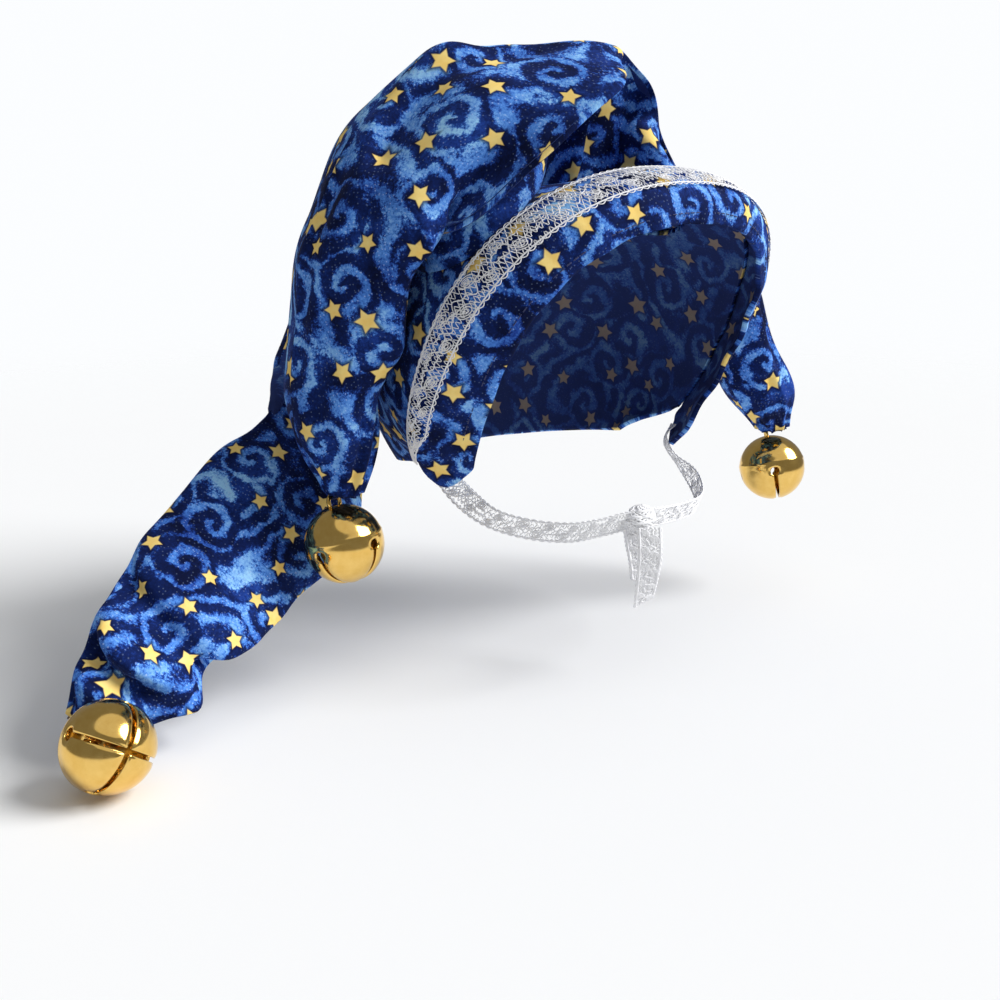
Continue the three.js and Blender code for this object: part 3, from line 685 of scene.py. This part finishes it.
TUGS_RIGHT = [
    # where the hanging cloth is drawn aside, on a line as above: width, and the way that it moves
    (0.46, -45, 0.70, -40, 17.0, 3.3, -3.0, -1.3),
    (0.365, 0, 0.37, -5, 5.0, -0.5, 1.1, 2.1),
    (0.20, 116, 0.22, 128, 9.0, -1.6, -2.0, -9.7),
    (0.33, 112, 0.41, 115, 9.0, 2.4, -3.1, -3.6),
    (0.47, 116, 0.53, 118, 9.0, 1.2, -1.2, -0.6),
]
TUGS_LEFT = [(0.19, 14, 0.28, 38, 12.0, 2.3, -1.3, 1.7)]
TUGS_BACK = [(0.40, -6, 0.445, -6, 8.0, 5.5, -4.3, 0.0)]
POINT_WAVES = [(31, 0.5, (0.4, -0.3, 1)), (21, 0.35, (1, 0.5, -0.6)), (14, 0.16, (0.5, 1, 0.7))]
POINTS = [
    # piece, solid, its tables, its place in the print, and the flat cloth that it is cut from: size and area
    ("point_right", "horn_right", POINT_RIGHT, FOLDS_RIGHT, TUGS_RIGHT, (41.0, 2.3), (0.17, 0.17), 0.0185),
    ("point_left", "horn_left", POINT_LEFT, FOLDS_LEFT, TUGS_LEFT, (83.5, 31.0), (0.12, 0.15), 0.0115),
    ("point_back", "tail_back", POINT_BACK, FOLDS_BACK, TUGS_BACK, (12.2, 60.7), (0.12, 0.25), 0.02),
]


def beside_line(share, angle, share_a, angle_a, share_b, angle_b, wide):
    """How near a place is to a straight line over the cloth's length and girth: 1 on the line, falling off
    sideways as a bell curve of the width wide."""
    near = np.zeros(np.broadcast(share, angle).shape)
    for turn in (-360, 0, 360):
        x = (share - share_a) * POINT_SPAN
        y = np.radians(angle + turn - angle_a) * POINT_GIRTH
        run_x, run_y = (share_b - share_a) * POINT_SPAN, math.radians(angle_b - angle_a) * POINT_GIRTH
        run = np.clip((x * run_x + y * run_y) / (run_x**2 + run_y**2), 0, 1)
        near += np.exp(-((x - run * run_x) ** 2 + (y - run * run_y) ** 2) / wide**2)
    return near


def onto_hood(points, lift):
    """The places on the hood straight out from the head's centre through the points, by halving."""
    way = points - HEAD_CENTRE
    near, far = np.zeros(way.shape[:-1]), np.full(way.shape[:-1], 4.0)
    for _ in range(40):
        middle = (near + far) / 2
        x, back, up = np.moveaxis(HEAD_CENTRE + way * middle[..., None], -1, 0)
        back, up = back - EAR_Y, up - EAR_Z
        lean = np.degrees(np.arctan2(up, -back))
        lean = np.where(lean < -90, lean + 360, lean)
        rise, half, waist, drop, _ = hood_arch((lean - FACE_LEAN) / (NAPE_LEAN - FACE_LEAN), lift)
        over = np.hypot(back, up) - waist
        across = np.abs(x) / np.where(x < 0, half, half * LEFT_SHARE)
        tall = np.where(over < 0, drop, rise - waist)
        inside = across**ROUND + (np.abs(over) / tall) ** ROUND < 1
        near, far = np.where(inside, middle, near), np.where(inside, far, middle)
    return HEAD_CENTRE + way * near[..., None]


def hanging_point(sections, folds, tugs, rows=161, columns=160):
    """A point: round each place on its middle line the cloth is an oval, half width times the cosine plus
    half depth times the sine. A small power of the sine draws it out to a ridge at both edges, its creases
    are taken off and its tugs draw it aside. Near the seam it is carried onto the hood, and near the tip it
    is gathered into pleats, a cosine round it."""
    share = np.linspace(0, 1, rows)[:, None]
    angle = np.linspace(0, 360, columns, endpoint=False)[None]
    row = curve_through(sections, share)
    middle, edge, face = row[..., 0:3], row[..., 3:6], row[..., 6:9]
    c, s = np.cos(np.radians(angle))[..., None], np.sin(np.radians(angle))[..., None]
    out = edge * c + face * s * np.abs(s) ** POINT_RIDGE
    size = np.linalg.norm(out, axis=-1)
    gathered = np.clip((share - PLEATS_FROM) / (1 - PLEATS_FROM), 0, 1)
    pleats = PLEAT_DEPTH * gathered * np.cos(np.radians(PLEATS * angle))
    depth = sum(deep * beside_line(share, angle, *line, wide) for *line, deep, wide in folds)
    size -= np.minimum(depth, FOLD_LIMIT * size) + pleats * size
    free = middle + unit(out) * size[..., None]
    for *line, x, y, z in tugs:
        free = free + beside_line(share, angle, *line)[..., None] * np.array((x, y, z))
    held = np.clip(1 - share / POINT_SEAT, 0, 1)[..., None] ** POINT_EASE
    return free + held * (onto_hood(free[:1], GAP) - free[:1]), out


for name, node, sections, folds, tugs, shift, flat_box, flat_area in POINTS:
    grid, out = hanging_point(sections, folds, tugs)
    grid = crumpled(grid, out, POINT_WAVES)
    half = grid.shape[1] // 2
    ring = np.arange(2 * half + 1) % (2 * half)
    panels = [ring[:half + 1], ring[half:]]
    spots = [np.add(shift, PANELS_APART * k) for k in range(len(panels))]
    flat = [laid_flat(grid[:, panel], 4, 4, spot) for panel, spot in zip(panels, spots)]
    piece = cloth_piece(name, grid, np.concatenate(flat, axis=1), out, over=np.concatenate(panels), tip=True)
    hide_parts(node)


# Brim
# A crescent cuff of two layers of the same cotton, seamed along its front edge and sewn over the hood's face
# edge, so that it stands off the forehead like a visor and ends in a blunt flap beside each cheek.
BRIM_LAP = 3.5
BRIM_FOOT = 2.0
BRIM_BEND, BRIM_BEND_LEAN, BRIM_BEND_LIFT = 0.22, 1.0, 0.3
BRIM_TIP_FROM, BRIM_TIP_DROP, BRIM_TIP_LOST = 0.88, 3.5, 0.4
BRIM_FRONT = (81.0, 46.0, 36.0, 70.0, 0.0)
BRIM_FRONT_LEAN, BRIM_FRONT_Y, BRIM_FRONT_Z = 59.5, -4.0, -78.0
BRIM_ROUND_FROM, BRIM_ROUND = 0.95, 0.96
FRONT_RIPPLES, FRONT_RIPPLE, FRONT_RIPPLE_START = 6.5, 0.45, 0.6
REAR_RIPPLES, REAR_RIPPLE = 29, 0.2


def brim_at(width, length):
    """The brim's middle layer: a parabola over its width through three arches, on the hood behind its edge,
    at the bend and at the front edge. length is -1 at the right flap and 1 at the left one."""
    lift = GAP + CLOTH / 2
    on_hood = np.full_like(length, BRIM_LAP / (NAPE_LEAN - FACE_LEAN))
    rise, half, waist, drop, _ = hood_arch(on_hood, lift)
    back = leaning(*arch(rise, half, waist, drop, BRIM_FOOT, length), FACE_LEAN + BRIM_LAP, EAR_Y, EAR_Z)
    rise, half, waist, drop, _ = hood_arch(np.zeros_like(length), lift + BRIM_BEND_LIFT)
    bend = arch(rise, half, waist, drop, BRIM_FOOT, length)
    bend = leaning(*bend, FACE_LEAN - BRIM_BEND_LEAN, EAR_Y, EAR_Z)
    front = leaning(*arch(*BRIM_FRONT, length), BRIM_FRONT_LEAN, BRIM_FRONT_Y, BRIM_FRONT_Z)
    tip = np.clip((np.abs(length) - BRIM_TIP_FROM) / (1 - BRIM_TIP_FROM), 0, None) ** 2
    w = (width + BRIM_TIP_LOST * tip * (1 - width))[..., None]
    point = back * (w - BRIM_BEND) * (w - 1) / BRIM_BEND + bend * w * (w - 1) / (BRIM_BEND * (BRIM_BEND - 1))
    point = point + front * w * (w - BRIM_BEND) / (1 - BRIM_BEND)
    point[..., 2] -= BRIM_TIP_DROP * 4 * width * (1 - width) * tip
    return point


# the flaps' ends are rounded as ellipses, and the flat coordinates are read at the same places
width, length = np.meshgrid(np.linspace(0, 1, 33), np.linspace(-1, 1, 331), indexing="ij")
square_flat = laid_flat(brim_at(width, length), 8, 11, (55.3, 18.8))
to_end = np.clip((np.abs(length) - BRIM_ROUND_FROM) / (1 - BRIM_ROUND_FROM), 0, 1)
rounded = 0.5 + (width - 0.5) * np.sqrt(1 - BRIM_ROUND * to_end**2)
brim_grid, brim_out = brim_at(rounded, length), normals(brim_at, rounded, length)
place = rounded * (len(rounded) - 1)
below = np.minimum(place.astype(int), len(rounded) - 2)
column = np.arange(rounded.shape[1])[None]
flat_below, flat_above = square_flat[below, column], square_flat[below + 1, column]
brim_flat = flat_below + (place - below)[..., None] * (flat_above - flat_below)

# ripples: slow ones that grow towards the front edge, and the fine pucker of the rear seam
ripple = FRONT_RIPPLE * np.sin(2 * np.pi * length * FRONT_RIPPLES + FRONT_RIPPLE_START) * rounded**2
ripple += REAR_RIPPLE * np.sin(2 * np.pi * length * REAR_RIPPLES) * (1 - rounded)
brim_grid = brim_grid + brim_out * (CLOTH / 2 + ripple)[..., None]
brim = cloth_piece("face_brim", brim_grid, brim_flat, brim_out)
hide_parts("brim")


# Lace trim
# A strip of the same white lace as the tie, wider, sewn flat along the brim's rear seam. It narrows to a
# point on both flaps.
LACE_FROM, LACE_TO, LACE_END = 0.08, 0.52, 0.97
LACE_POINT_RUN, LACE_POINT_LOST = 0.1, 0.75
LACE_LIFT = 0.75
TRIM_LACE = dict(cells=150, rows=6, leaves=46, picots=110, heavy=0.85)


def trim_at(along, across):
    """The brim's outside over the share of its width that the lace covers, raised a little off the cloth. A
    smooth step narrows it towards both ends."""
    length = LACE_END * (2 * along - 1)
    step = np.clip((np.abs(length) - LACE_END + LACE_POINT_RUN) / LACE_POINT_RUN, 0, 1)
    narrow = 1 - LACE_POINT_LOST * step**2 * (3 - 2 * step)
    width = LACE_FROM + (LACE_TO - LACE_FROM) * (across + 1) / 2 * narrow
    return brim_at(width, length) + normals(brim_at, width, length) * (CLOTH / 2 + LACE_LIFT)


lace_trim = new_piece("lace_edging", *thread_faces(lace(trim_at, **TRIM_LACE)), lace_thread, "lace")
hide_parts("lace_trim")


# Stitching
# Short machine stitches in navy thread along the brim's front edge, which hold its two layers together, and
# white ones along both borders of the lace, which hold it down.
HEM_LIFT = 0.55
HEM_ROW = dict(count=100, long=0.66, thick=0.16, from_=0.03, to=0.97)
HEM_ACROSS = 0.88
LACE_ROW = dict(count=90, long=0.5, thick=0.14, from_=0.02, to=0.98)
LACE_BORDERS = (-0.9, 0.9)


def stitch_row(surface, across, count, long, thick, from_, to):
    """A row of stitches on a surface: equal steps along it, each a short thread that dips at both ends."""
    start = from_ + (to - from_) * (np.arange(count)[:, None] + 0.2) / count
    part = np.linspace(0, 1, 7)[None]
    along = start + part * long * (to - from_) / count
    return threads(surface, along, np.full_like(along, across), thick, 0.06, 6)


def brim_face(along, across):
    """The brim's outside, raised off its middle layer by a share of the cloth's thickness."""
    return brim_at(across, 2 * along - 1) + normals(brim_at, across, 2 * along - 1) * CLOTH * HEM_LIFT


navy_thread = thread_material("navy_thread", (0.006, 0.01, 0.06, 1), (0.02, 0.035, 0.16, 1), 0.0004)
hem_row = stitch_row(brim_face, HEM_ACROSS, **HEM_ROW)
hem = new_piece("brim_stitches", *thread_faces([hem_row]), navy_thread, "cotton")
lace_rows = [stitch_row(trim_at, border, **LACE_ROW) for border in LACE_BORDERS]
held_lace = new_piece("lace_stitches", *thread_faces(lace_rows), lace_thread, "lace")


# Bells
# Round jingle bells of thin plated steel, pressed in two halves: four petals meet under the crossed slots,
# each slot ends in a round hole, and a wire loop on the other half is sewn to the tip of a point.
BELL_RADIUS, BELL_WALL = 11.0, 0.9
BELL_SLOT, BELL_SLOT_END = 1.2, 1.5
SLOT_REACH = math.radians(84)
LIP_CURL, LIP_WIDE = 0.25, 0.7
RIDGE, RIDGE_AT, RIDGE_WIDE = 0.16, math.radians(100), math.radians(2.5)
PRESSED_NEAR = 0.00002
LOOP_RADIUS, LOOP_WIRE = 2.2, 0.6
JOIN_THREAD, JOIN_HALF, JOIN_DEEP = 0.35, 1.2, 2.0
JOIN_SLIDES = (-0.7, 0.0, 0.7)
BELLS = [
    # the point that it is sewn to, middle, the way that the crossed slots face, and the turn of the slots
    ("bell_right", POINT_RIGHT, (-74.3, 10.0, -92.8), (0.1, -0.25, -1.0), 20),
    ("bell_left", POINT_LEFT, (83.6, -6.3, -91.6), (0.0, -0.3, -1.0), 45),
    ("bell_tail", POINT_BACK, (-149.3, -9.9, -122.1), (0.09, -0.96, 0.25), 40),
]


def plated(name):
    """Polished gold plating: a little darker and rougher in fine patches, with a faint ripple from the
    pressing."""
    material, tree, surface = new_material(name)
    place = put(tree, "ShaderNodeTexCoord").outputs["Object"]
    patches = put(tree, "ShaderNodeTexNoise", {"Vector": place, "Scale": 350, "Detail": 5, "Roughness": 0.6})
    tones = put(tree, "ShaderNodeMix", {"Factor": patches.outputs["Fac"], "A": (0.72, 0.42, 0.08, 1),
                                        "B": (0.95, 0.66, 0.22, 1)}, data_type="RGBA")
    dull = put(tree, "ShaderNodeMapRange", {"Value": patches.outputs["Fac"], "To Min": 0.07, "To Max": 0.2})
    ripple = put(tree, "ShaderNodeTexNoise", {"Vector": place, "Scale": 160, "Detail": 1})
    bump = put(tree, "ShaderNodeBump", {"Height": ripple.outputs["Fac"], "Strength": 0.12,
                                        "Distance": 0.0005})
    fill(tree, surface, {"Base Color": tones.outputs["Result"], "Roughness": dull.outputs["Result"],
                         "Normal": bump.outputs["Normal"], "Metallic": 1.0})
    return material


def bell_shell():
    """The outside of a bell in four quarters, slots down: at each height the quarter runs from one slot's
    edge to the next, the slot's half width over the ring's radius away from the quarter's side. The lips of
    the slots turn in a little, and a low ridge runs round where the two halves are pressed together."""
    end = BELL_SLOT_END / BELL_RADIUS
    first = math.asin(BELL_SLOT / math.sqrt(2) / BELL_RADIUS)
    fall = np.concatenate([
        np.linspace(first, SLOT_REACH - end, 26)[:-1],
        np.linspace(SLOT_REACH - end, SLOT_REACH + end, 17)[:-1],
        np.linspace(SLOT_REACH + end, np.pi, 34),
    ])[:, None]
    hole = np.sqrt(np.clip(BELL_SLOT_END**2 - (BELL_RADIUS * (fall - SLOT_REACH)) ** 2, 0, None))
    open_half = np.maximum(np.where(fall < SLOT_REACH, BELL_SLOT / 2, 0), hole)
    ring = np.maximum(BELL_RADIUS * np.sin(fall), 1e-6)
    lip = np.arcsin(np.clip(open_half / ring, 0, math.sqrt(0.5)))
    part = np.linspace(0, 1, 25)[None]
    turn = lip + part * (np.pi / 2 - 2 * lip)
    from_lip = np.minimum(turn - lip, np.pi / 2 - lip - turn) * ring
    curl = LIP_CURL * np.exp(-((from_lip / LIP_WIDE) ** 2)) * (open_half > 0)
    ridge = RIDGE * np.exp(-(((fall - RIDGE_AT) / RIDGE_WIDE) ** 2))
    size = BELL_RADIUS - curl + ridge - RIDGE
    x, y = size * np.sin(fall) * np.cos(turn), size * np.sin(fall) * np.sin(turn)
    z = -size * np.cos(fall) + 0 * turn
    quarters = (x, y, z), (-y, x, z), (-x, -y, z), (y, -x, z)
    return np.stack([np.stack(quarter, axis=-1) for quarter in quarters])


def ring(radius, wire, height):
    """A ring of wire that stands on the bell's axis: a circle carried round a circle."""
    u = np.linspace(0, 2 * np.pi, 28, endpoint=False)[:, None]
    v = np.linspace(0, 2 * np.pi, 10, endpoint=False)[None]
    out = radius + wire * np.cos(v)
    return np.stack([out * np.cos(u), wire * np.sin(v) + 0 * u, out * np.sin(u) + height], axis=-1)


def sewn_through(start, end, aside):
    """A stitch from start to end and back: an ellipse in the plane of that line and aside, with a circle of
    thread carried round it."""
    u = np.linspace(0, 2 * np.pi, 28, endpoint=False)[:, None, None]
    v = np.linspace(0, 2 * np.pi, 10, endpoint=False)[None, :, None]
    half = (end - start) / 2
    way = unit(half)
    side = unit(aside - (aside @ way) * way)
    out = unit(np.cos(u) / np.linalg.norm(half) * way + np.sin(u) / JOIN_HALF * side)
    line = (start + end) / 2 + np.cos(u) * half + np.sin(u) * JOIN_HALF * side
    return line + JOIN_THREAD * (np.cos(v) * out + np.sin(v) * np.cross(side, way))


def bell_turn(faces, turn):
    """The rotation that swings straight down onto faces by the shortest way, the identity plus the cross
    product's matrix plus its square over one plus the cosine, after a turn about the bell."""
    a, b = np.array((0.0, 0.0, -1.0)), unit(np.array(faces))
    axis, c = np.cross(a, b), a @ b
    k = np.array([[0, -axis[2], axis[1]], [axis[2], 0, -axis[0]], [-axis[1], axis[0], 0]])
    swing = np.eye(3) + k + k @ k / (1 + c)
    t = math.radians(turn)
    return swing @ np.array([[math.cos(t), -math.sin(t), 0], [math.sin(t), math.cos(t), 0], [0, 0, 1]])


gold_plate = plated("gold_plate")
shell = bell_shell()
quarters, rows, columns = shell.shape[:3]
index = np.arange(quarters * rows * columns).reshape(quarters, rows, columns)
shell_faces = np.stack([index[:, :-1, :-1], index[:, :-1, 1:], index[:, 1:, 1:], index[:, 1:, :-1]], axis=-1)
loop = ring(LOOP_RADIUS, LOOP_WIRE, BELL_RADIUS + LOOP_WIRE)
index = np.arange(loop[..., 0].size).reshape(loop.shape[:2])
up = np.roll(index, -1, axis=1)
ring_faces = np.stack([index, up, np.roll(up, -1, axis=0), np.roll(index, -1, axis=0)], axis=-1)
ring_faces = ring_faces.reshape(-1, 4)
sewn_faces = np.concatenate([ring_faces + k * index.size for k in range(len(JOIN_SLIDES))])
for name, sections, at, faces, turn in BELLS:
    turned = bell_turn(faces, turn)
    points = shell.reshape(-1, 3) @ turned.T + at
    bell = new_piece(name + "_shell", points, shell_faces.reshape(-1, 4).tolist(), gold_plate, "gold")
    weld = bell.modifiers.new("pressed_together", "WELD")
    weld.merge_threshold = PRESSED_NEAR
    thick = bell.modifiers.new("plate", "SOLIDIFY")
    thick.thickness, thick.offset = BELL_WALL * MM, -1
    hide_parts(name)
    new_piece(name + "_loop", loop @ turned.T + at, ring_faces.tolist(), gold_plate, "gold")
    x, y, z = turned.T
    tip, before = sections[-1, :3], sections[-2, :3]
    in_cloth = tip + JOIN_DEEP * unit(before - tip)
    in_loop = at + (BELL_RADIUS + LOOP_RADIUS - JOIN_THREAD) * z
    sewn = [sewn_through(in_loop + slide * x, in_cloth + slide * x, y) for slide in JOIN_SLIDES]
    new_piece(name + "_join", np.stack(sewn), sewn_faces.tolist(), navy_thread, "cotton")


# Floor and light
# A plain pale floor just under the lowest bell, which fades out into the background like a studio sweep, a
# large soft light from the front right, and a pale sky.
FLOOR = cad_box[0][2] - 0.0012
FLOOR_HALF = 6
FADE_FROM, FADE_TO = 0.3, 0.85
SKY_FILL = 0.23
floor_mesh = bpy.data.meshes.new("floor")
floor_corners = [(FLOOR_HALF * x, FLOOR_HALF * y, FLOOR) for x, y in ((-1, -1), (1, -1), (1, 1), (-1, 1))]
floor_mesh.from_pydata(floor_corners, [], [(0, 1, 2, 3)])
floor_paint, floor_tree, floor_surface = new_material("floor_paint")
floor_place = put(floor_tree, "ShaderNodeTexCoord").outputs["Object"]
floor_far = put(floor_tree, "ShaderNodeVectorMath", {0: floor_place}, operation="LENGTH").outputs["Value"]
fade_sockets = {"Value": floor_far, "From Min": FADE_FROM, "From Max": FADE_TO, "To Min": 1.0, "To Max": 0.0}
floor_fade = put(floor_tree, "ShaderNodeMapRange", fade_sockets, interpolation_type="SMOOTHSTEP")
fill(floor_tree, floor_surface, {"Base Color": (0.91, 0.915, 0.92, 1), "Roughness": 0.9,
                                 "Alpha": floor_fade.outputs["Result"]})
floor_mesh.materials.append(floor_paint)
floor = bpy.data.objects.new("floor", floor_mesh)
bpy.context.collection.objects.link(floor)


def soft_light(name, way, wide, strength):
    """A far soft light that shines from way, as wide as wide degrees of the sky."""
    lamp = bpy.data.lights.new(name, "SUN")
    lamp.angle, lamp.energy = math.radians(wide), strength
    light = bpy.data.objects.new(name, lamp)
    x, y, z = way
    light.rotation_euler = (math.atan2(math.hypot(x, y), z), 0, math.atan2(y, x) + math.pi / 2)
    bpy.context.collection.objects.link(light)


soft_light("key_light", (0.74, -0.68, 0.8), wide=34, strength=3.5)
soft_light("top_light", (0.1, -0.3, 1.0), wide=70, strength=0.5)
studio = bpy.data.worlds.new("studio")
studio.use_nodes = True
seen = put(studio.node_tree, "ShaderNodeLightPath").outputs["Is Camera Ray"]
sky_strength = calc(studio.node_tree, "MULTIPLY_ADD", seen, 1 - SKY_FILL, SKY_FILL)
fill(studio.node_tree, studio.node_tree.nodes["Background"],
     {"Color": (0.97, 0.985, 1.0, 1), "Strength": sky_strength})
bpy.context.scene.world = studio
bpy.context.scene.view_settings.view_transform = "Standard"
